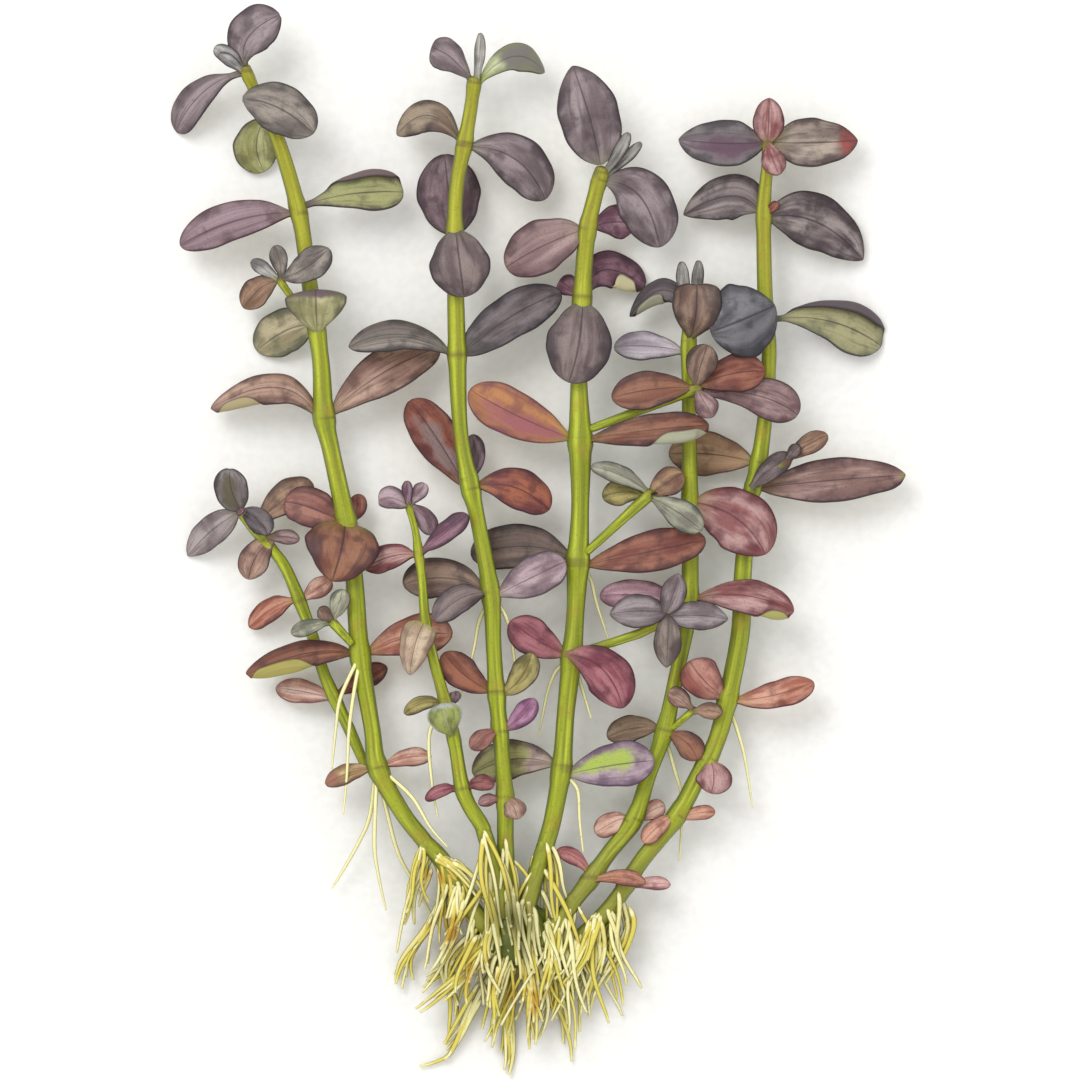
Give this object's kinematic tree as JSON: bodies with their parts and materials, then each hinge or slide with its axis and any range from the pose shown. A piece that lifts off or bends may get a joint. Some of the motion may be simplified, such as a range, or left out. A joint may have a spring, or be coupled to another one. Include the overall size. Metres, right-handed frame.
{
  "type": "aquarium stem plant",
  "caption": "Rooted clump of a purple-leaved aquarium stem plant, with paired leaves, side shoots and tangled roots, lying flat.",
  "frame": {"origin": "on the surface the plant lies on, below the middle of the whole clump", "axes": "+Y up the plant from its roots to its tips, +X to its right as pictured, +Z away from the surface"},
  "size_m": [0.1224, 0.1791, 0.0142],
  "materials": {
    "brown_rose_tissue": "satin",
    "coral_tissue": "satin",
    "cream_tissue": "satin",
    "crown_tissue": "satin",
    "lilac_tissue": "satin",
    "magenta_tissue": "satin",
    "olive_tissue": "satin",
    "orange_tissue": "satin",
    "pale_green_tissue": "satin",
    "plum_tissue": "satin",
    "red_tissue": "satin",
    "rosy_tissue": "satin",
    "rust_tissue": "satin",
    "slate_tissue": "satin",
    "smoke_tissue": "satin",
    "stem_tissue": "satin"
  },
  "bodies": {
    "root": {"root_crown": "crown_tissue", "stem_1": "stem_tissue", "stem_2": "stem_tissue", "stem_3": "stem_tissue", "stem_4": "stem_tissue", "stem_5": "stem_tissue", "stem_6": "stem_tissue", "shoot_1_upper": "stem_tissue", "shoot_1_lower": "stem_tissue", "shoot_1_middle": "stem_tissue", "shoot_4_upper": "stem_tissue", "shoot_4_middle": "stem_tissue", "shoot_4_lower": "stem_tissue", "shoot_5": "stem_tissue", "shoot_6": "stem_tissue", "leaf_1_0_right": "smoke_tissue", "leaf_1_1_front": "slate_tissue", "leaf_1_2_left": "rosy_tissue", "leaf_1_2_right": "smoke_tissue", "leaf_1_3_front": "cream_tissue", "leaf_1_3_back": "olive_tissue", "leaf_1_4_left": "brown_rose_tissue", "leaf_1_4_right": "brown_rose_tissue", "leaf_1_5_front": "rust_tissue", "leaf_1_6_left": "red_tissue", "leaf_1_6_right": "coral_tissue", "leaf_3_1_right": "smoke_tissue", "leaf_3_2_back": "plum_tissue", "leaf_3_2_front": "slate_tissue", "leaf_3_3_left": "slate_tissue", "leaf_3_3_right": "slate_tissue", "leaf_3_4_left": "red_tissue", "leaf_3_4_right": "red_tissue", "leaf_3_6_back": "rust_tissue", "leaf_3_6_right": "lilac_tissue", "leaf_4_0_left": "smoke_tissue", "leaf_4_0_right": "smoke_tissue", "leaf_4_1_left": "rosy_tissue", "leaf_4_2_front": "smoke_tissue", "leaf_4_3_left": "orange_tissue", "leaf_4_3_right": "rust_tissue", "leaf_4_4_left": "olive_tissue", "leaf_4_4_right": "red_tissue", "leaf_4_5_left": "magenta_tissue", "leaf_4_5_right": "magenta_tissue", "leaf_4_6_left": "olive_tissue", "leaf_4_6_right": "lilac_tissue", "leaf_5_0_front": "brown_rose_tissue", "leaf_5_4_right": "rosy_tissue", "leaf_5_5_left": "rosy_tissue", "leaf_5_5_right": "rosy_tissue", "leaf_6_0_left": "plum_tissue", "leaf_6_0_right": "smoke_tissue", "leaf_6_1_left": "slate_tissue", "leaf_6_1_right": "slate_tissue", "leaf_6_2_left": "slate_tissue", "leaf_6_2_right": "pale_green_tissue", "leaf_6_4_left": "brown_rose_tissue", "leaf_6_4_right": "brown_rose_tissue"}
  },
  "joints": []
}
